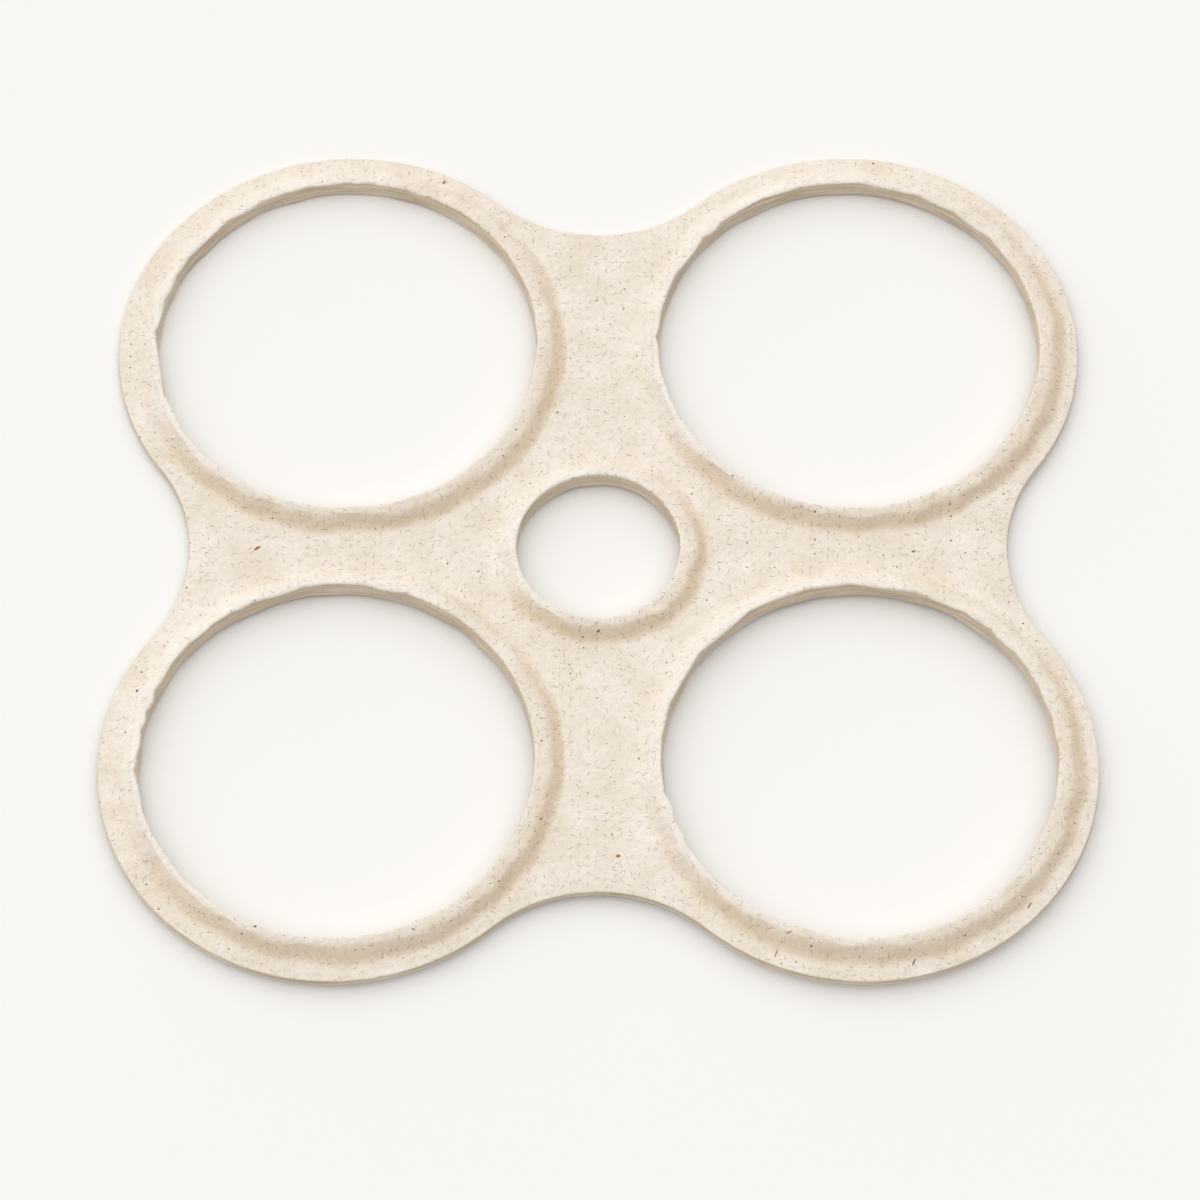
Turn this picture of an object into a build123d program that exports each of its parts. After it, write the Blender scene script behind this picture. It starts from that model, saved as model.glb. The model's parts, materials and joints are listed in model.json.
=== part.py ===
from build123d import *
import math
import os

# Can carrier pressed from one sheet of sugarcane fibre, in millimetres.
# Four round lobes each hold a can by its neck, and a finger hole lies between them.
# Origin: middle of the finger hole, on the underside. +X runs along the wider pitch, +Z is up.

# Holes, and the flat sheet left between their lips
can_hole_diameter = 53.8     # wider than a can's neck, narrower than its seam
finger_hole_diameter = 22.6
row_gap = 5.7                # between two can holes, front to back
finger_gap = 3.6             # between the finger hole and each can hole

# Outline
flange_width = 2.3           # flat sheet outside a can hole's lip
waist_radius = 22.0          # hollow arcs that join neighbouring lobes
trim_edge_radius = 0.3       # pressed upper edge

# Section of the sheet where it is formed into a lip
sheet_thickness = 1.1
lip_height = 1.7             # crown above the flat of the sheet
crown_width = 1.5
slope_width = 2.0            # run of the slope that falls from the crown to the flat
hole_edge_radius = 0.35
crown_radius = 1.2
root_radius = 2.5            # upper side of the bend from the slope into the flat

# Lip section worked out from those sizes
lip_width = crown_width + slope_width
lip_top = sheet_thickness + lip_height
slope_angle = math.atan2(lip_height, slope_width)
bend_share = math.tan(slope_angle / 2)       # length of a bend's half, for each millimetre of its radius
root_run = root_radius * bend_share
ring_width = lip_width + (root_run + finger_gap / 2) / 2     # ends on the flat, short of the next ring

# The underside runs one sheet thickness below the slope, and leaves a hollow behind the hole's wall
hollow_mouth = lip_width - sheet_thickness * bend_share
hollow_run = hollow_mouth - sheet_thickness
hollow_peak = hollow_run * math.tan(slope_angle)
hollow_slope = math.hypot(hollow_run, hollow_peak)
slope_share = 0.9                            # most of the hollow's slope that its bend may take up
under_root_radius = min(root_radius + sheet_thickness, slope_share * hollow_slope / bend_share)

# Pitches leave room for the lips: the finger hole's room sets how far apart the two columns stand
can_hole_radius = can_hole_diameter / 2
finger_hole_radius = finger_hole_diameter / 2
can_to_finger = can_hole_radius + finger_hole_radius + 2 * lip_width + finger_gap
can_pitch_y = can_hole_diameter + 2 * lip_width + row_gap
can_pitch_x = 2 * math.sqrt(can_to_finger**2 - (can_pitch_y / 2)**2)
can_places = GridLocations(can_pitch_x, can_pitch_y, 2, 2).locations
lobe_radius = can_hole_radius + lip_width + flange_width


def outline():
    # Lobes and waists are arcs that touch, so a waist's centre lies both radii away from two lobes
    lobe = Vector(can_pitch_x / 2, can_pitch_y / 2)
    reach = lobe_radius + waist_radius
    side_waist = Vector(lobe.X + math.sqrt(reach**2 - lobe.Y**2), 0)
    end_waist = Vector(0, lobe.Y + math.sqrt(reach**2 - lobe.X**2))
    side_touch = lobe + (side_waist - lobe) * (lobe_radius / reach)
    end_touch = lobe + (end_waist - lobe) * (lobe_radius / reach)
    lobe_tip = lobe + Vector(1, 1).normalized() * lobe_radius
    side_bottom = side_waist - Vector(waist_radius, 0)
    end_bottom = end_waist - Vector(0, waist_radius)
    with BuildSketch() as sketch:
        with BuildLine():
            right_lobe = ThreePointArc(side_touch, lobe_tip, end_touch)
            left_lobe = mirror(right_lobe, about=Plane.YZ)
            end = ThreePointArc(end_touch, end_bottom, (-end_touch.X, end_touch.Y))
            side = ThreePointArc(side_touch, side_bottom, (side_touch.X, -side_touch.Y))
            mirror([right_lobe, left_lobe, end], about=Plane.XZ)
            mirror(side, about=Plane.YZ)
        make_face()
    return sketch.sketch


def disc(radius):
    return extrude(Circle(radius), sheet_thickness)


def web():
    # Flat sheet between the rings, with its trimmed edge rounded by the press
    sheet = extrude(outline(), sheet_thickness)
    upper_edge = sheet.faces().sort_by(Axis.Z)[-1].outer_wire().edges()
    sheet = fillet(upper_edge, trim_edge_radius)
    sheet -= disc(finger_hole_radius + ring_width)
    for place in can_places:
        sheet -= place * disc(can_hole_radius + ring_width)
    return sheet


def ring(hole_radius):
    # Corners of the formed section, measured out from the hole's wall, each with its bend radius
    corners = [
        ((0, 0), 0),
        ((0, lip_top), hole_edge_radius),
        ((crown_width, lip_top), crown_radius),
        ((lip_width, sheet_thickness), root_radius),
        ((ring_width, sheet_thickness), 0),
        ((ring_width, 0), 0),
        ((hollow_mouth, 0), under_root_radius),
        ((sheet_thickness, hollow_peak), 0),
        ((sheet_thickness, 0), 0),
    ]
    points = [(hole_radius + out, up) for (out, up), bend in corners]
    bends = [bend for corner, bend in corners]
    with BuildPart() as formed:
        with BuildSketch(Plane.XZ):
            with BuildLine():
                FilletPolyline(*points, radius=bends, close=True)
            make_face()
        revolve(axis=Axis.Z)
    return formed.part


carrier = web() + ring(finger_hole_radius)
can_ring = ring(can_hole_radius)
for place in can_places:
    carrier += place * can_ring

os.makedirs("parts", exist_ok=True)
export_step(carrier, "parts/carrier.step")
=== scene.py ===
import bpy
import bmesh
import json
import math
import random
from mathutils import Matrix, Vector, noise


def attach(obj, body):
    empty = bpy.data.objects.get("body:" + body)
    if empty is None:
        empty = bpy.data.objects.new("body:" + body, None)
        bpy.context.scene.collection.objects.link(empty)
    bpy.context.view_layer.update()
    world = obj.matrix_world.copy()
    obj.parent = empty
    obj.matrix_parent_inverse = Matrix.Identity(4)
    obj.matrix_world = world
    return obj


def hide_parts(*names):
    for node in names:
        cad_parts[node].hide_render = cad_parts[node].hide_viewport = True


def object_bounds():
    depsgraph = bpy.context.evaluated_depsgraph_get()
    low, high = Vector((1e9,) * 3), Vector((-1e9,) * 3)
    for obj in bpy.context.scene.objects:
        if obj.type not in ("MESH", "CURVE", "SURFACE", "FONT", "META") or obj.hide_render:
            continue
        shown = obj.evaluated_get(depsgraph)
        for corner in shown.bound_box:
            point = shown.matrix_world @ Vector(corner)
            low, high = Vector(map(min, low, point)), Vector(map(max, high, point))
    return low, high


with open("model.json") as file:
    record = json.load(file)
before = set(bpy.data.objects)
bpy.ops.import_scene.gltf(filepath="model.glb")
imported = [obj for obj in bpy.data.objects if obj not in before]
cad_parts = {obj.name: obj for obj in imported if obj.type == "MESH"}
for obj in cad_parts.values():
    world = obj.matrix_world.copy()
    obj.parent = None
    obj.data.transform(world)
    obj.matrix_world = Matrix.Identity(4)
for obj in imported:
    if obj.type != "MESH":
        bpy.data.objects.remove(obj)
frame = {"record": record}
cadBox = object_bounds()
mm = 0.001
mergeGap = 0.004 * mm     # vertices nearer than this become one
onSeam = 0.001 * mm       # a vertex this near a seam lies on it
angleSlack = 1e-4         # a ray that ends on a corner belongs to the trimmed edge beside it
middle = Vector((0, 0))

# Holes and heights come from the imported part, so the fibre sheet lies where the CAD has it
mounts = {mount["name"]: mount for mount in frame["record"]["mounts"]}
canHole = mounts["can_hole_back_right"]
canCentre = Vector(canHole["pos_m"][:2])
canRadius = canHole["dims"]["r_mm"] * mm
fingerRadius = mounts["finger_hole"]["dims"]["r_mm"] * mm
lipTop = cadBox[1][2]
lobeRadius = cadBox[1][0] - canCentre.x

# The pressed sheet
sheet = {
    "thickness": 1.1 * mm,
    "crown": 1.65 * mm,       # width of a lip's flat top, out from the hole's wall
    "slope": 1.85 * mm,       # run of the slope outside the crown
    "holeEdge": 0.35 * mm,    # bends of the lip's section
    "crownBend": 1.5 * mm,
    "rootBend": 1.4 * mm,
    "hollowMouth": 3.1 * mm,  # hollow behind the hole's wall, on the underside
    "hollowPeak": 1.7 * mm,
    "hollowBend": 3.6 * mm,
    "ring": 4.86 * mm,        # flat reached, out from the hole's wall
    "waist": 22 * mm,         # hollow arcs between lobes
    "trimEdge": 0.3 * mm,
    "rays": 380,              # mesh lines out from one can hole
    "fingerShare": 1.4,       # lines stand closer where they reach the finger hole
    "topStep": 0.3 * mm,      # mesh rows across the section
    "underStep": 0.7 * mm,
    "bendRows": 3,            # at least this many round a bend
    "webRows": 8,
    "underRows": 3,
    "edgeRows": 4,
    "wallRows": 3,
    "crease": math.radians(50),   # edges sharper than this stay crisp
}


def selectNone():
    bpy.ops.object.select_all(action="DESELECT")


def bentLine(corners, step):
    # points along straight runs, with an arc at each corner that has a bend
    line = [Vector(corners[0][0])]
    for index in range(1, len(corners)):
        corner = Vector(corners[index][0])
        bend = corners[index][1]
        begin = line[-1]
        way = (corner - begin).normalized()
        arc = [corner]
        if bend:
            onward = (Vector(corners[index + 1][0]) - corner).normalized()
            turn = way.angle(onward)
            side = (onward - way * math.cos(turn)) / math.sin(turn)
            start = corner - way * bend * math.tan(turn / 2)
            count = max(sheet["bendRows"], round(turn * bend / step))
            turns = [turn * k / count for k in range(count + 1)]
            arc = [start + bend * (way * math.sin(t) + side * (1 - math.cos(t))) for t in turns]
        run = arc[0] - begin
        cuts = max(1, round(run.length / step))
        line += [begin + run * (k / cuts) for k in range(1, cuts)]
        line += arc
    return line


def lipLines():
    # upper and lower side of a lip's section: how far out from the hole's wall, and how high
    thick = sheet["thickness"]
    lipWidth = sheet["crown"] + sheet["slope"]
    upper = [
        ((0, 0), 0),
        ((0, lipTop), sheet["holeEdge"]),
        ((sheet["crown"], lipTop), sheet["crownBend"]),
        ((lipWidth, thick), sheet["rootBend"]),
        ((sheet["ring"], thick), 0),
    ]
    lower = [
        ((sheet["ring"], 0), 0),
        ((sheet["hollowMouth"], 0), sheet["hollowBend"]),
        ((thick, sheet["hollowPeak"]), 0),
        ((thick, 0), 0),
        ((0, 0), 0),
    ]
    return bentLine(upper, sheet["topStep"]), bentLine(lower, sheet["underStep"])


def angleTo(point):
    way = Vector(point) - canCentre
    return math.atan2(way.y, way.x) % math.tau


# Border of one quarter of the carrier: its lobe, half of two waists, two middle lines and the
# finger hole's ring, with the angles at which rays from the can hole's middle come to them
waistReach = lobeRadius + sheet["waist"]
sideWaist = Vector((canCentre.x + math.sqrt(waistReach**2 - canCentre.y**2), 0))
endWaist = Vector((0, canCentre.y + math.sqrt(waistReach**2 - canCentre.x**2)))
fingerRing = fingerRadius + sheet["ring"]
lobeStart = angleTo(sideWaist) - math.tau
lobeEnd = angleTo(endWaist)
endBottom = angleTo((0, endWaist.y - sheet["waist"]))
fingerTop = angleTo((0, fingerRing))
fingerSide = angleTo((fingerRing, 0))
sideBottom = angleTo((sideWaist.x - sheet["waist"], 0))


def rayAngles():
    stops = [lobeStart, lobeEnd, endBottom, fingerTop, fingerSide, sideBottom, lobeStart + math.tau]
    angles = []
    for begin, end in zip(stops, stops[1:]):
        share = sheet["fingerShare"] if begin == fingerTop else 1
        count = round((end - begin) / math.tau * sheet["rays"] * share)
        angles += [begin + (end - begin) * k / count for k in range(count)]
    return angles


def circleHit(way, centre, radius):
    along = way.dot(centre - canCentre)
    return along - math.sqrt(radius**2 - (canCentre + way * along - centre).length_squared)


def border(angle):
    # the border's point on a ray, and its inward normal where that is a trimmed edge
    way = Vector((math.cos(angle), math.sin(angle)))
    turned = lobeStart + (angle - lobeStart + angleSlack) % math.tau
    if turned < lobeEnd:
        return canCentre + way * lobeRadius, -way
    if turned < endBottom + 2 * angleSlack or turned > sideBottom:
        centre = endWaist if turned < fingerTop else sideWaist
        point = canCentre + way * circleHit(way, centre, sheet["waist"])
        return point, (point - centre).normalized()
    if turned < fingerTop:
        reach = -canCentre.x / way.x
    elif turned < fingerSide:
        reach = circleHit(way, middle, fingerRing)
    else:
        reach = -canCentre.y / way.y
    return canCentre + way * reach, Vector((0, 0))


def onRay(centre, radius, angle, up):
    return Vector((centre.x + radius * math.cos(angle), centre.y + radius * math.sin(angle), up))


def lipPlace(centre, radius, point):
    return lambda angle: onRay(centre, radius + point.x, angle, point.y)


def webPlace(share, inset, up):
    # a share of the way from the can hole's ring to the border
    def place(angle):
        edge, inward = border(angle)
        edge = (edge + inward * inset).to_3d() + Vector((0, 0, up))
        return onRay(canCentre, canRadius + sheet["ring"], angle, up).lerp(edge, share)
    return place


def pullLoop(mesh, place):
    # extrude the selected loop, then set its new vertices, each on its own ray
    bpy.ops.mesh.extrude_edges_indiv()
    edited = bmesh.from_edit_mesh(mesh)
    ray = edited.verts.layers.float["ray"]
    for vertex in edited.verts:
        if vertex.select:
            vertex.co = place(vertex[ray])
    bmesh.update_edit_mesh(mesh)


def startRing():
    # the foot of a can hole's wall, with a vertex on each ray
    angles = sorted(angle % math.tau for angle in rayAngles())
    selectNone()
    bpy.ops.mesh.primitive_circle_add(vertices=len(angles), radius=canRadius,
                                      location=canCentre.to_3d())
    ring = bpy.context.object
    bpy.ops.object.transform_apply(location=True)
    bpy.ops.object.mode_set(mode="EDIT")
    edited = bmesh.from_edit_mesh(ring.data)
    ray = edited.verts.layers.float.new("ray")
    around = sorted(edited.verts, key=lambda vertex: angleTo(vertex.co.xy))
    for vertex, angle in zip(around, angles):
        vertex[ray] = angle
        vertex.co = onRay(canCentre, canRadius, angle, 0)
    bmesh.update_edit_mesh(ring.data)
    return ring


def openSeams(mesh):
    # faces on the middle lines and on the finger hole's ring go, to meet the other quarters
    edited = bmesh.from_edit_mesh(mesh)
    for face in edited.faces:
        places = [vertex.co.xy for vertex in face.verts]
        onSide = all(abs(place.x) < onSeam for place in places)
        onEnd = all(abs(place.y) < onSeam for place in places)
        onRing = all(abs(place.length - fingerRing) < onSeam for place in places)
        face.select_set(onSide or onEnd or onRing)
    bmesh.update_edit_mesh(mesh)
    bpy.ops.mesh.delete(type="FACE")


def modelQuarter():
    # one can hole's lip and the sheet round it, as a closed ring of extruded loops
    quarter = startRing()
    mesh = quarter.data
    upper, lower = lipLines()
    thick = sheet["thickness"]
    trim = sheet["trimEdge"]
    for point in upper[1:]:
        pullLoop(mesh, lipPlace(canCentre, canRadius, point))
    for k in range(1, sheet["webRows"] + 1):
        pullLoop(mesh, webPlace(k / sheet["webRows"], trim, thick))
    for k in range(1, sheet["edgeRows"] + 1):
        turn = math.pi / 2 * k / sheet["edgeRows"]
        up = thick - trim * (1 - math.cos(turn))
        pullLoop(mesh, webPlace(1, trim * (1 - math.sin(turn)), up))
    for k in range(sheet["wallRows"] - 1, -1, -1):
        pullLoop(mesh, webPlace(1, 0, (thick - trim) * k / sheet["wallRows"]))
    for k in range(sheet["underRows"] - 1, -1, -1):
        pullLoop(mesh, webPlace(k / sheet["underRows"], 0, 0))
    for point in lower[1:]:
        pullLoop(mesh, lipPlace(canCentre, canRadius, point))
    openSeams(mesh)
    bpy.ops.object.mode_set(mode="OBJECT")
    return quarter


def pullFingerLip(mesh):
    # the finger hole's lip is pulled in from the open ring between the quarters, upper side first
    upper, lower = lipLines()
    for onTop, line in ((True, upper[-2::-1]), (False, lower[1:])):
        bpy.ops.mesh.select_all(action="DESELECT")
        edited = bmesh.from_edit_mesh(mesh)
        ray = edited.verts.layers.float["ray"]
        for vertex in edited.verts:
            vertex[ray] = math.atan2(vertex.co.y, vertex.co.x)
        for edge in edited.edges:
            start = edge.verts[0].co
            onRing = abs(start.xy.length - fingerRing) < mergeGap
            onSide = (start.z > sheet["thickness"] / 2) == onTop
            edge.select_set(edge.is_boundary and onRing and onSide)
        bmesh.update_edit_mesh(mesh)
        for point in line:
            pullLoop(mesh, lipPlace(middle, fingerRadius, point))


def modelCarrier():
    carrier = modelQuarter()
    carrier.name = "pressed_carrier"
    mirror = carrier.modifiers.new("quarters", "MIRROR")
    mirror.use_axis = (True, True, False)
    mirror.merge_threshold = mergeGap
    bpy.ops.object.modifier_apply(modifier=mirror.name)
    bpy.ops.object.mode_set(mode="EDIT")
    bpy.ops.mesh.select_all(action="SELECT")
    bpy.ops.mesh.remove_doubles(threshold=mergeGap)
    pullFingerLip(carrier.data)
    bpy.ops.mesh.select_all(action="SELECT")
    bpy.ops.mesh.remove_doubles(threshold=mergeGap)
    bpy.ops.mesh.normals_make_consistent(inside=False)
    bpy.ops.object.mode_set(mode="OBJECT")
    carrier.data.attributes.remove(carrier.data.attributes["ray"])
    return carrier


# How the press and the punch left it. A band says how far out from a hole's wall, in mm,
# something begins, is full, fades and ends.
wear = {
    "seed": 7,
    "noiseShift": 50,                      # the seed moves the noise by up to this
    "raised": (0.1 * mm, 0.7 * mm),        # nothing at the foot, all of it from here up
    "lump": 0.24 * mm,                     # soft lumps along the lips
    "lumpSize": 5.5 * mm,
    "ripple": 0.16 * mm,                   # shorter ones, on the lips alone
    "rippleSize": 2.8 * mm,
    "lipBand": (0.3, 1.4, 3.0, 4.4),
    "sheetLump": 0.3,                      # share of the lumps on the flat sheet
    "dimple": 0.09 * mm,
    "dimpleSize": 2.2 * mm,
    "droop": 0.15 * mm,                    # the trimmed edge was pressed thinner
    "droopRun": 2.2 * mm,
    "wobble": 0.55 * mm,                   # a slope's foot wanders in and out
    "wobbleSize": 3.6 * mm,
    "offCentre": Vector((0.5, 0.15)) * mm,   # the punch stood off the middle of each lip
    "slopeBand": (0.9, 2.0, 3.6, 4.8),
    "chord": (6, 20),                      # degrees between the cusps of a punched edge
    "scallop": 0.5 * mm,
    "leastBow": 0.1,                       # bows take from this share of it to all, mostly little
    "bowPower": 1.4,
    "cusp": 0.4,                           # a cusp bites this share of it into the lip
    "nick": 0.45 * mm,                     # one deeper nick in each can hole, at these angles
    "nickWidth": 5,
    "nickAngles": {(-1, 1): 176, (1, 1): 178, (-1, -1): 184, (1, -1): 3},
    "edgeRun": 1.3 * mm,                   # scallops fade across the crown and down the wall
    "edgeHeights": (1.0 * mm, 2.6 * mm),
    "slant": 0.5,                          # the cut is cleaner towards the front right
    "cleanShare": 0.45,
    "roughSide": (-0.6, 0.4),
    "foot": 0.3 * mm,                      # the foot of a punched wall wanders too
    "footSize": 4.5 * mm,
    "footHeight": 1.6 * mm,
    "layer": 0.10 * mm,                    # layers that show in a punched wall
    "layerSize": 0.42 * mm,
    "layerRun": 7 * mm,
    "wallSlack": 0.02 * mm,                # a vertex this near a hole's radius is on its wall
    "trimOut": 4 * mm,                     # a steep one further out than this is on the trimmed edge
    "steep": 0.5,
    "holeCut": 0.85,                       # how brown a hole's cut is, beside the trimmed edge
}

# Painted shade and highlight on a lip: the drawn slope painted browner as shade, most at the front
# right where it faces away from the light, weaker on the back slopes, and the crown painted paler as
# a highlight at the left, towards the light
paintedShadeAndHighlight = {
    "shadeBand": (0.7, 2.8, 3.1, 4.2),
    "nearSide": (0.5, -0.5),
    "farSide": (0.3, 0.9),
    "farShare": 0.25,
    "highlightRun": (3.6 * mm, 2.4 * mm),
    "highlightSide": (0.2, -0.8),
    "highlightSlant": 0.3,
    "faceUp": (0, 0.3),
}


def smooth(low, high, value):
    share = min(1, max(0, (value - low) / (high - low)))
    return share * share * (3 - 2 * share)


def band(bounds, out):
    begin, full, fade, end = (bound * mm for bound in bounds)
    return smooth(begin, full, out) * smooth(end, fade, out)


def softNoise(place):
    return (1 + noise.noise(place)) / 2


def backLeft(way):
    # how far a point lies towards the back left of its hole
    return way.y - wear["slant"] * way.x


def scallopedEdge(draw, nickAngle):
    # how far a punched edge stands out of round, at any angle: short bows with a cusp between them
    stops = [0]
    while stops[-1] < 360 - wear["chord"][1]:
        stops.append(stops[-1] + draw.uniform(*wear["chord"]))
    stops.append(360)
    least = wear["leastBow"]
    bows = [least + (1 - least) * draw.random()**wear["bowPower"] for stop in stops[1:]]

    def offset(angle):
        degrees = math.degrees(angle) % 360
        index = max(k for k in range(len(bows)) if stops[k] <= degrees)
        share = (degrees - stops[index]) / (stops[index + 1] - stops[index])
        bow = 4 * bows[index] * share * (1 - share)      # none at a cusp, all of it half way
        past = (degrees - nickAngle + 180) % 360 - 180
        nick = max(0, 1 - abs(past) / wear["nickWidth"])**2
        return wear["scallop"] * (wear["cusp"] - bow) + wear["nick"] * nick
    return offset


def punchedHoles(draw):
    # middle and radius of each hole, and a can hole's punched edge
    holes = []
    for y in (1, -1):
        for x in (-1, 1):
            edge = scallopedEdge(draw, wear["nickAngles"][x, y])
            holes.append((Vector((x * canCentre.x, y * canCentre.y)), canRadius, edge))
    holes.append((middle, fingerRadius, None))
    return holes


def edgeDistance(place):
    # how far in from the trimmed outline a point lies
    folded = Vector((abs(place.x), abs(place.y)))
    turned = lobeStart + (angleTo(folded) - lobeStart) % math.tau
    if turned < lobeEnd:
        return lobeRadius - (folded - canCentre).length
    return min((folded - waist).length - sheet["waist"] for waist in (endWaist, sideWaist))


def pressDepth(co, out, shift):
    # lumps and dimples are all pressed in, deepest on the lips
    onLip = band(wear["lipBand"], out)
    lump = softNoise(co / wear["lumpSize"] + shift)
    ripple = softNoise(co / wear["rippleSize"] - shift)
    dimple = softNoise(co / wear["dimpleSize"] + shift)
    depth = wear["lump"] * (wear["sheetLump"] + (1 - wear["sheetLump"]) * onLip)
    lump += ripple * onLip * wear["ripple"] / wear["lump"]
    return depth * lump + wear["dimple"] * dimple


def slopeMove(co, way, out, shift):
    wander = noise.noise(Vector((co.x, co.y, 0)) / wear["wobbleSize"] + shift)
    move = way * wear["wobble"] * wander + wear["offCentre"]
    return (move * band(wear["slopeBand"], out)).to_3d()


def edgeMove(co, way, out, edgeOffset):
    near = smooth(wear["edgeRun"], 0, out) * smooth(*wear["edgeHeights"], co.z)
    clean = wear["cleanShare"]
    rough = clean + (1 - clean) * smooth(*wear["roughSide"], backLeft(way))
    return (way * edgeOffset(math.atan2(way.y, way.x)) * near * rough).to_3d()


def footMove(co, way, shift):
    wander = noise.noise(Vector((co.x, co.y, 0)) / wear["footSize"] - shift)
    return (way * wear["foot"] * wander * smooth(wear["footHeight"], 0, co.z)).to_3d()


def layerMove(co, way, raised, shift):
    run = wear["layerRun"]
    layers = Vector((co.x / run, co.y / run, co.z / wear["layerSize"]))
    return (way * wear["layer"] * raised * noise.noise(layers + shift)).to_3d()


def shadeAndHighlightAt(normal, way, out):
    # from 1, the slope's painted shade, to -1, the crown's painted highlight
    nearSide = smooth(*paintedShadeAndHighlight["nearSide"], backLeft(way))
    farSide = paintedShadeAndHighlight["farShare"] * smooth(*paintedShadeAndHighlight["farSide"], way.y)
    slopeShade = band(paintedShadeAndHighlight["shadeBand"], out) * max(nearSide, farSide)
    left = way.x - paintedShadeAndHighlight["highlightSlant"] * way.y
    crownHighlight = smooth(*paintedShadeAndHighlight["highlightRun"], out) * smooth(*paintedShadeAndHighlight["highlightSide"], left)
    return smooth(*paintedShadeAndHighlight["faceUp"], normal.z) * (slopeShade - crownHighlight * (1 - slopeShade))


def wearCarrier(carrier):
    draw = random.Random(wear["seed"])
    holes = punchedHoles(draw)
    shift = Vector([draw.uniform(0, wear["noiseShift"]) for axis in range(3)])
    cutWall = carrier.data.attributes.new("cutWall", "FLOAT", "POINT")
    paintedLipLight = carrier.data.attributes.new("paintedLipLight", "FLOAT", "POINT")
    worn = []
    for vertex in carrier.data.vertices:
        co = vertex.co
        centre, radius, edgeOffset = min(holes, key=lambda hole: (co.xy - hole[0]).length - hole[1])
        way = co.xy - centre
        out = way.length - radius
        way.normalize()
        raised = smooth(*wear["raised"], co.z)
        move = -vertex.normal * raised * pressDepth(co, out, shift)
        drooped = smooth(wear["droopRun"], 0, edgeDistance(co.xy))
        move.z -= wear["droop"] * drooped * co.z / sheet["thickness"]
        move += slopeMove(co, way, out, shift)
        if edgeOffset:
            move += edgeMove(co, way, out, edgeOffset)
        onWall = abs(out) < wear["wallSlack"]
        onTrim = abs(vertex.normal.z) < wear["steep"] and out > wear["trimOut"]
        if onWall:
            move += footMove(co, way, shift)
            move += layerMove(co, way, raised, shift)
        cutWall.data[vertex.index].value = wear["holeCut"] if onWall else float(onTrim)
        # painted shade on the lips' slopes and a painted highlight on their crowns, kept in the mesh
        # for the material
        paintedLipLight.data[vertex.index].value = shadeAndHighlightAt(vertex.normal, way, out)
        worn.append(co + move)
    lowest, highest = cadBox
    for vertex, co in zip(carrier.data.vertices, worn):
        vertex.co = [min(highest[k], max(lowest[k], co[k])) for k in range(3)]


def hexColour(text):
    values = [int(text[k:k + 2], 16) / 255 for k in (1, 3, 5)]
    return [v / 12.92 if v <= 0.04045 else ((v + 0.055) / 1.055)**2.4 for v in values] + [1]


def addNode(tree, kind, settings, inputs):
    # an input is a plain value, another node's output, or a node, which gives its first output
    node = tree.nodes.new("ShaderNode" + kind)
    for name, value in settings.items():
        setattr(node, name, value)
    for name, value in inputs.items():
        if isinstance(value, bpy.types.Node):
            value = value.outputs[0]
        if isinstance(value, bpy.types.NodeSocket):
            tree.links.new(value, node.inputs[name])
        else:
            node.inputs[name].default_value = value
    return node


def newMaterial(name):
    material = bpy.data.materials.new(name)
    material.use_nodes = True
    tree = material.node_tree
    return material, tree, tree.nodes["Principled BSDF"]


# Finish of the pressed pulp, with sizes in mm
pulp = {
    "cloud": 6,
    "creams": ((0.33, "#ecdfce"), (0.67, "#f6ece0")),      # places on the cloud's noise
    "lipShadeAndHighlight": ((0.68, "#e3ccae"), (-0.5, "#fbf5ec")),    # painted shade on the slope and a painted highlight on the crown, by the mesh's painted lip light
    "felt": 0.7,                                           # pits and ridges of the skin
    "pitNoise": (0.55, 0.3),                               # a pit begins and is full
    "pitShare": 0.27,
    "pit": "#d3c4ae",
    "layer": 0.45,                                         # layers in a cut wall
    "layerRun": 0.06,                                      # they run far round it, and change little
    "cuts": ((0.35, "#c6b397"), (0.65, "#e2d3bd")),
    "fibres": (     # cell, share of cells left bare, half width, half length, colour, strength
        (1.15, 0.42, 0.042, 0.42, "#a88a63", 0.55),
        (1.4, 0.35, 0.045, 0.55, "#fffaf0", 0.65),
        (2.7, 0.65, 0.05, 0.3, "#6f573c", 0.8),
    ),
    "fibreBend": 1.6,
    "fibreCore": (0.3, 0.6),         # full colour within these shares of its half width and length
    "fibreRise": 0.3,                # how far the first fibres stand out of the felt's height
    "height": 0.2,
    "specks": (     # cell, share of cells left bare, largest radius, colour
        (1.9, 0.87, 0.17, "#5f4a36"),
        (1.3, 0.76, 0.14, "#a48c6a"),
    ),
    "leastSpeck": 0.4,               # share of the largest radius
    "speckEdge": 0.07,
    "fleckDepth": 0.9,
    "fleckEdge": (1.1, 0.6),         # shares of a fleck's radius
}

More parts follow.
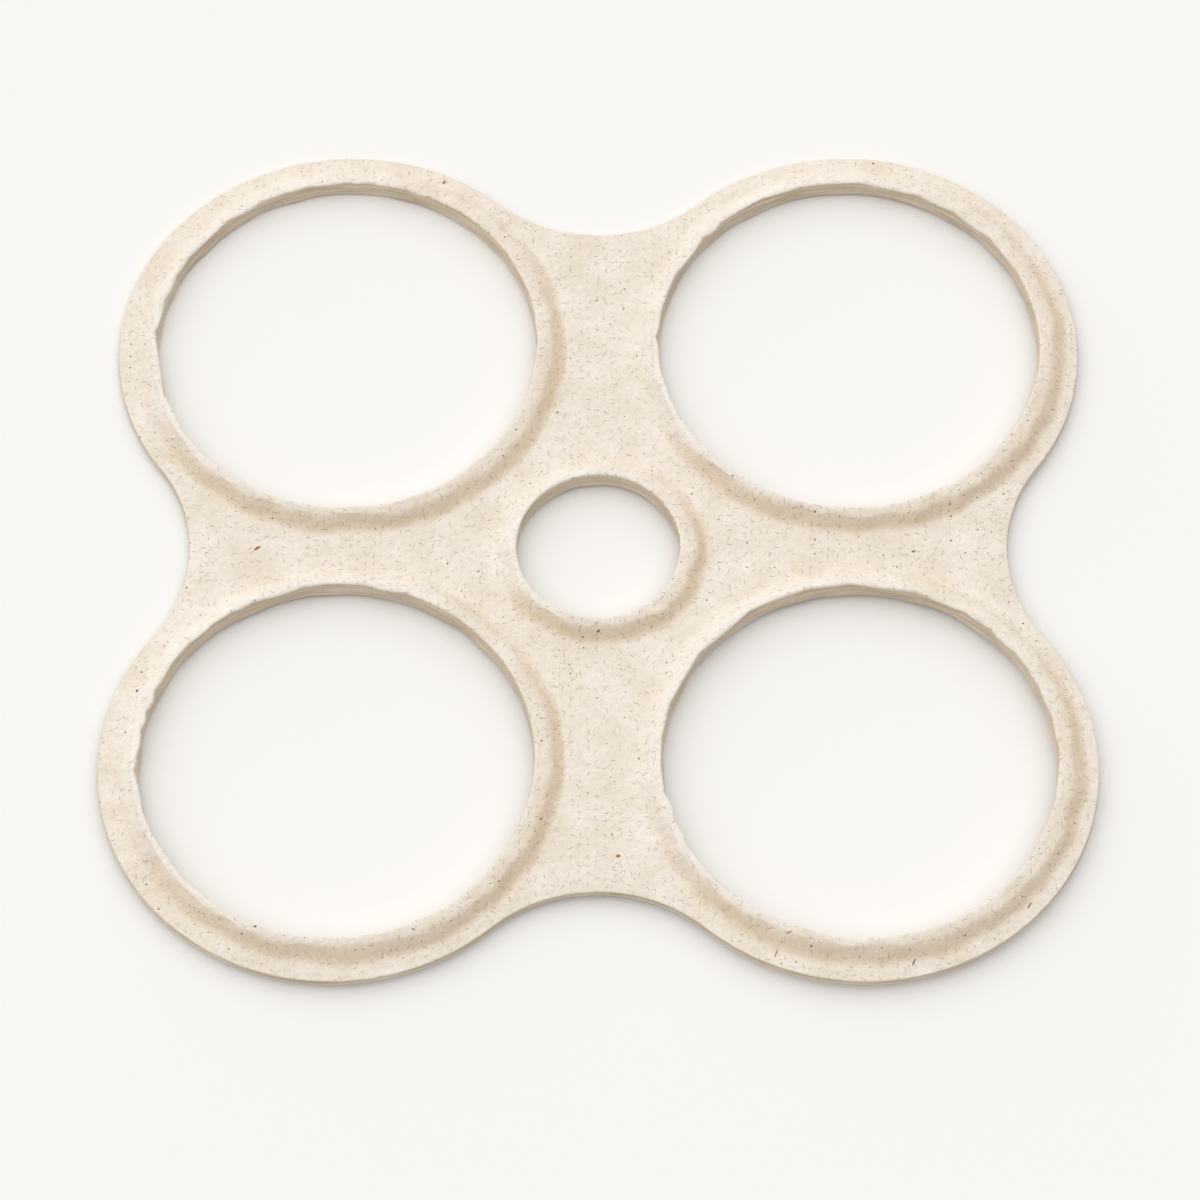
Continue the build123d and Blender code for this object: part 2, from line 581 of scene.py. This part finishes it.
# Larger flecks that the photo shows: place, length and width in mm, turn in degrees, colour
flecks = {
    "side web": ((-47.6, 0.5, 1.1), (1.3, 0.5), 38, "#a8692f"),
    "right web": ((44.0, 0.0, 1.1), (0.6, 0.45), 0, "#a06c3c"),
    "front web": ((2.7, -47.3, 1.1), (0.7, 0.55), 10, "#a5683a"),
    "back left lobe": ((-22.4, 61.6, 1.1), (0.8, 0.4), 60, "#94602f"),
    "back right lobe": ((40.0, 64.9, 1.1), (0.5, 0.35), 0, "#94602f"),
    "left lobe": ((-63.4, -22.1, 1.4), (0.5, 0.4), 0, "#4c3a2a"),
    "front left crown": ((-58.1, -47.3, 2.7), (0.7, 0.4), 50, "#7c5a38"),
    "front left lip": ((-45.9, -58.6, 2.7), (0.6, 0.3), 20, "#6b5138"),
    "finger crown": ((0.2, 10.8, 2.8), (0.5, 0.3), 90, "#6b5138"),
    "finger root": ((-16.7, -3.2, 1.1), (0.5, 0.35), 0, "#c08a4a"),
    "finger slope": ((0.0, -13.2, 2.2), (0.6, 0.3), 30, "#8a6238"),
    "front fibre": ((23.8, -61.8, 1.1), (1.5, 0.22), 75, "#b4722e"),
    "front fibre pair": ((25.5, -59.4, 2.7), (1.2, 0.2), 20, "#b4722e"),
    "right lobe fibre": ((42.2, -63.1, 1.1), (1.3, 0.24), 65, "#6b5138"),
    "right lobe curl": ((58.0, -54.7, 1.1), (1.4, 0.22), 60, "#7a5c3e"),
}


def fibreMask(tree, coords, uncut, cell, bare, halfWidth, halfLength):
    # one short bent stroke in each cell, turned at random, with some cells left bare
    spread = addNode(tree, "VectorMath", {"operation": "SCALE"}, {
        0: coords, "Scale": 1 / (cell * mm)})
    cells = addNode(tree, "TexVoronoi", {"voronoi_dimensions": "2D"}, {
        "Vector": spread, "Scale": 1})
    chance = addNode(tree, "SeparateColor", {}, {0: cells.outputs["Color"]}).outputs
    away = addNode(tree, "VectorMath", {"operation": "SUBTRACT"}, {
        0: spread, 1: cells.outputs["Position"]})
    turn = addNode(tree, "Math", {"operation": "MULTIPLY"}, {0: chance[1], 1: math.tau})
    turned = addNode(tree, "VectorRotate", {"rotation_type": "Z_AXIS"}, {
        "Vector": away, "Angle": turn})
    place = addNode(tree, "SeparateXYZ", {}, {0: turned}).outputs
    squared = addNode(tree, "Math", {"operation": "MULTIPLY"}, {0: place[0], 1: place[0]})
    bend = addNode(tree, "Math", {"operation": "MULTIPLY_ADD"}, {
        0: chance[2], 1: 2 * pulp["fibreBend"], 2: -pulp["fibreBend"]})
    across = addNode(tree, "Math", {"operation": "MULTIPLY_ADD"}, {
        0: bend, 1: squared, 2: place[1]})
    sides = []
    for distance, half, core in zip(
            (across, place[0]), (halfWidth, halfLength), pulp["fibreCore"]):
        off = addNode(tree, "Math", {"operation": "ABSOLUTE"}, {0: distance})
        sides.append(addNode(tree, "MapRange", {"interpolation_type": "SMOOTHSTEP"}, {
            "Value": off, "From Min": half / cell, "From Max": core * half / cell}))
    here = addNode(tree, "MapRange", {}, {
        "Value": chance[0], "From Min": bare, "From Max": (1 + bare) / 2})
    drawn = addNode(tree, "Math", {"operation": "MULTIPLY"}, {0: sides[0], 1: sides[1]})
    kept = addNode(tree, "Math", {"operation": "MULTIPLY"}, {0: here, 1: uncut})
    return addNode(tree, "Math", {"operation": "MULTIPLY"}, {0: drawn, 1: kept})


def speckMask(tree, coords, uncut, cell, bare, radius):
    # rind: a round dot in some of the cells, and none on a cut wall
    cells = addNode(tree, "TexVoronoi", {"voronoi_dimensions": "2D"}, {
        "Vector": coords, "Scale": 1 / (cell * mm)})
    chance = addNode(tree, "SeparateColor", {}, {0: cells.outputs["Color"]}).outputs
    reach = addNode(tree, "MapRange", {}, {
        "Value": chance[1], "To Min": pulp["leastSpeck"] * radius / cell, "To Max": radius / cell})
    inside = addNode(tree, "Math", {"operation": "SUBTRACT"}, {
        0: reach, 1: cells.outputs["Distance"]})
    dot = addNode(tree, "MapRange", {}, {
        "Value": inside, "From Min": 0, "From Max": pulp["speckEdge"] / cell})
    here = addNode(tree, "Math", {"operation": "GREATER_THAN"}, {0: chance[0], 1: bare})
    kept = addNode(tree, "Math", {"operation": "MULTIPLY"}, {0: here, 1: uncut})
    return addNode(tree, "Math", {"operation": "MULTIPLY"}, {0: dot, 1: kept})


def fleckMask(tree, coords, place, size, turn):
    # a soft-edged ellipse, turned in the plane of the sheet
    halves = Vector((size[0] / 2, size[1] / 2, pulp["fleckDepth"])) * mm
    local = addNode(tree, "Mapping", {"vector_type": "TEXTURE"}, {
        "Vector": coords, "Location": Vector(place) * mm,
        "Rotation": (0, 0, math.radians(turn)), "Scale": halves})
    far = addNode(tree, "VectorMath", {"operation": "LENGTH"}, {0: local}).outputs["Value"]
    outer, inner = pulp["fleckEdge"]
    return addNode(tree, "MapRange", {"interpolation_type": "SMOOTHSTEP"}, {
        "Value": far, "From Min": outer, "From Max": inner})


def hotPressedBagasse():
    # sugarcane pulp pressed hot between two tools: matt cream, faintly clouded, with dark specks,
    # stray fibres pressed into the skin, and a browner, layered look where the punch cut it
    # the lips also carry painted shade on their slopes and a painted highlight on their crowns
    material, tree, shader = newMaterial("hot_pressed_bagasse")
    coords = addNode(tree, "TexCoord", {}, {}).outputs["Object"]
    # painted shade and highlight of the lips, read from the mesh
    lip = addNode(tree, "Attribute", {"attribute_name": "paintedLipLight"}, {}).outputs["Fac"]
    cut = addNode(tree, "Attribute", {"attribute_name": "cutWall"}, {}).outputs["Fac"]
    uncut = addNode(tree, "Math", {"operation": "SUBTRACT"}, {0: 1, 1: cut})

    cloud = addNode(tree, "TexNoise", {}, {
        "Vector": coords, "Scale": 1 / (pulp["cloud"] * mm), "Detail": 2, "Roughness": 0.65})
    drawnOut = addNode(tree, "Mapping", {}, {
        "Vector": coords, "Scale": (pulp["layerRun"], pulp["layerRun"], 1)})
    layers = addNode(tree, "TexNoise", {}, {
        "Vector": drawnOut, "Scale": 1 / (pulp["layer"] * mm), "Detail": 1})
    ramps = []
    for pattern, stops in ((cloud, pulp["creams"]), (layers, pulp["cuts"])):
        ramp = addNode(tree, "ValToRGB", {}, {"Fac": pattern})
        for element, (place, tint) in zip(ramp.color_ramp.elements, stops):
            element.position = place
            element.color = hexColour(tint)
        ramps.append(ramp)
    colour, cutColour = ramps

    # felted skin, a little darker in its pits
    felt = addNode(tree, "TexNoise", {}, {
        "Vector": coords, "Scale": 1 / (pulp["felt"] * mm), "Detail": 2, "Roughness": 0.6})
    begin, full = pulp["pitNoise"]
    pits = addNode(tree, "MapRange", {}, {
        "Value": felt, "From Min": begin, "From Max": full, "To Max": pulp["pitShare"]})

    # coats over the cream, one on another: how much of each shows, and its colour
    coats = []
    # the lip coats are painted shade on the slopes and a painted highlight on the crowns
    for share, tint in pulp["lipShadeAndHighlight"]:
        shown = addNode(tree, "Math", {"operation": "MULTIPLY"}, {0: lip, 1: share})
        coats.append((shown, hexColour(tint)))
    coats.append((pits, hexColour(pulp["pit"])))
    coats.append((cut, cutColour))
    fibres = []
    for *sizes, tint, strength in pulp["fibres"]:
        fibres.append(fibreMask(tree, coords, uncut, *sizes))
        shown = addNode(tree, "Math", {"operation": "MULTIPLY"}, {0: fibres[-1], 1: strength})
        coats.append((shown, hexColour(tint)))
    for *sizes, tint in pulp["specks"]:
        coats.append((speckMask(tree, coords, uncut, *sizes), hexColour(tint)))
    for place, size, turn, tint in flecks.values():
        coats.append((fleckMask(tree, coords, place, size, turn), hexColour(tint)))
    for shown, tint in coats:
        colour = addNode(tree, "Mix", {"data_type": "RGBA"}, {
            0: shown, 6: colour, 7: tint}).outputs[2]

    # the first fibres stand out of the felt
    raised = addNode(tree, "Math", {"operation": "MULTIPLY_ADD"}, {
        0: fibres[0], 1: pulp["fibreRise"], 2: felt})
    bump = addNode(tree, "Bump", {}, {
        "Height": raised, "Distance": pulp["height"] * mm, "Strength": 1})
    tree.links.new(colour, shader.inputs["Base Color"])
    tree.links.new(bump.outputs[0], shader.inputs["Normal"])
    shader.inputs["Roughness"].default_value = 0.85
    shader.inputs["IOR"].default_value = 1.45
    shader.inputs["Specular IOR Level"].default_value = 0.3
    return material


# Camera, found from the photo's hole ellipses
view = {
    "target": Vector((0.24, -7.19, 0)) * mm,
    "elevation": math.radians(61.02),
    "distance": 728 * mm,
    "lens": 157.1,
    "sensor": 36,
    "clipEnd": 50,
}

# One very wide soft box behind the object and a little to the left, with a weak fill
light = {
    "elevation": math.radians(67),
    "turn": math.radians(30),       # from straight behind towards the left
    "sun": 2.73,
    "softness": math.radians(136),
    "fill": 0.2,
}

# The real sheet isn't quite flat, so shade gets under it, most of all at the front right:
# the board lies a little below the underside and leans away there
board = {
    "colour": "#f9f7f4",
    "size": 20,
    "gap": 0.85 * mm,
    "lean": (math.radians(0.45), math.radians(0.22), 0),
}


def addCamera():
    elevation = view["elevation"]
    back = Vector((0, -math.cos(elevation), math.sin(elevation)))
    bpy.ops.object.camera_add(location=view["target"] + back * view["distance"])
    camera = bpy.context.object
    camera.rotation_euler = back.to_track_quat("Z", "Y").to_euler()
    camera.data.lens = view["lens"]
    camera.data.sensor_width = view["sensor"]
    camera.data.clip_end = view["clipEnd"]
    bpy.context.scene.camera = camera


def addSun():
    turn = light["turn"]
    level = math.cos(light["elevation"])
    up = math.sin(light["elevation"])
    source = Vector((-level * math.sin(turn), level * math.cos(turn), up))
    bpy.ops.object.light_add(type="SUN", location=source)
    sun = bpy.context.object
    sun.rotation_euler = source.to_track_quat("Z", "Y").to_euler()
    sun.data.energy = light["sun"]
    sun.data.angle = light["softness"]


def addWorld():
    # a weak white fill, which the camera and reflections see as the board's own colour
    world = bpy.data.worlds.new("studio")
    bpy.context.scene.world = world
    world.use_nodes = True
    tree = world.node_tree
    fill = tree.nodes["Background"]
    fill.inputs["Color"].default_value = hexColour("#ffffff")
    fill.inputs["Strength"].default_value = light["fill"]
    seen = addNode(tree, "Background", {}, {"Color": hexColour(board["colour"]), "Strength": 1})
    path = addNode(tree, "LightPath", {}, {}).outputs
    mirrored = addNode(tree, "Math", {"operation": "MAXIMUM"}, {
        0: path["Is Glossy Ray"], 1: path["Is Transmission Ray"]})
    shown = addNode(tree, "Math", {"operation": "MAXIMUM"}, {
        0: path["Is Camera Ray"], 1: mirrored})
    mixed = addNode(tree, "MixShader", {}, {0: shown, 1: fill, 2: seen})
    tree.links.new(mixed.outputs[0], tree.nodes["World Output"].inputs["Surface"])


def mattBoard():
    # painted studio board: flat off-white that keeps a soft shadow
    material, tree, shader = newMaterial("matt_white_board")
    shader.inputs["Base Color"].default_value = hexColour(board["colour"])
    shader.inputs["Roughness"].default_value = 1
    shader.inputs["Specular IOR Level"].default_value = 0
    return material


def addFloor():
    selectNone()
    bpy.ops.mesh.primitive_plane_add(size=board["size"], location=(0, 0, -board["gap"]),
                                     rotation=board["lean"])
    floor = bpy.context.object
    floor.name = "studio_floor"
    floor.data.materials.append(mattBoard())


addCamera()
addSun()
addWorld()
addFloor()
print("stage: camera, light and floor")
carrier = modelCarrier()
print("carrier:", len(carrier.data.vertices), "vertices")
wearCarrier(carrier)
selectNone()
carrier.select_set(True)
bpy.context.view_layer.objects.active = carrier
bpy.ops.object.shade_smooth_by_angle(angle=sheet["crease"])
carrier.data.materials.append(hotPressedBagasse())
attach(carrier, "root")
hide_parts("carrier")
print("carrier: worn and finished")

bpy.context.scene.view_settings.view_transform = "Standard"
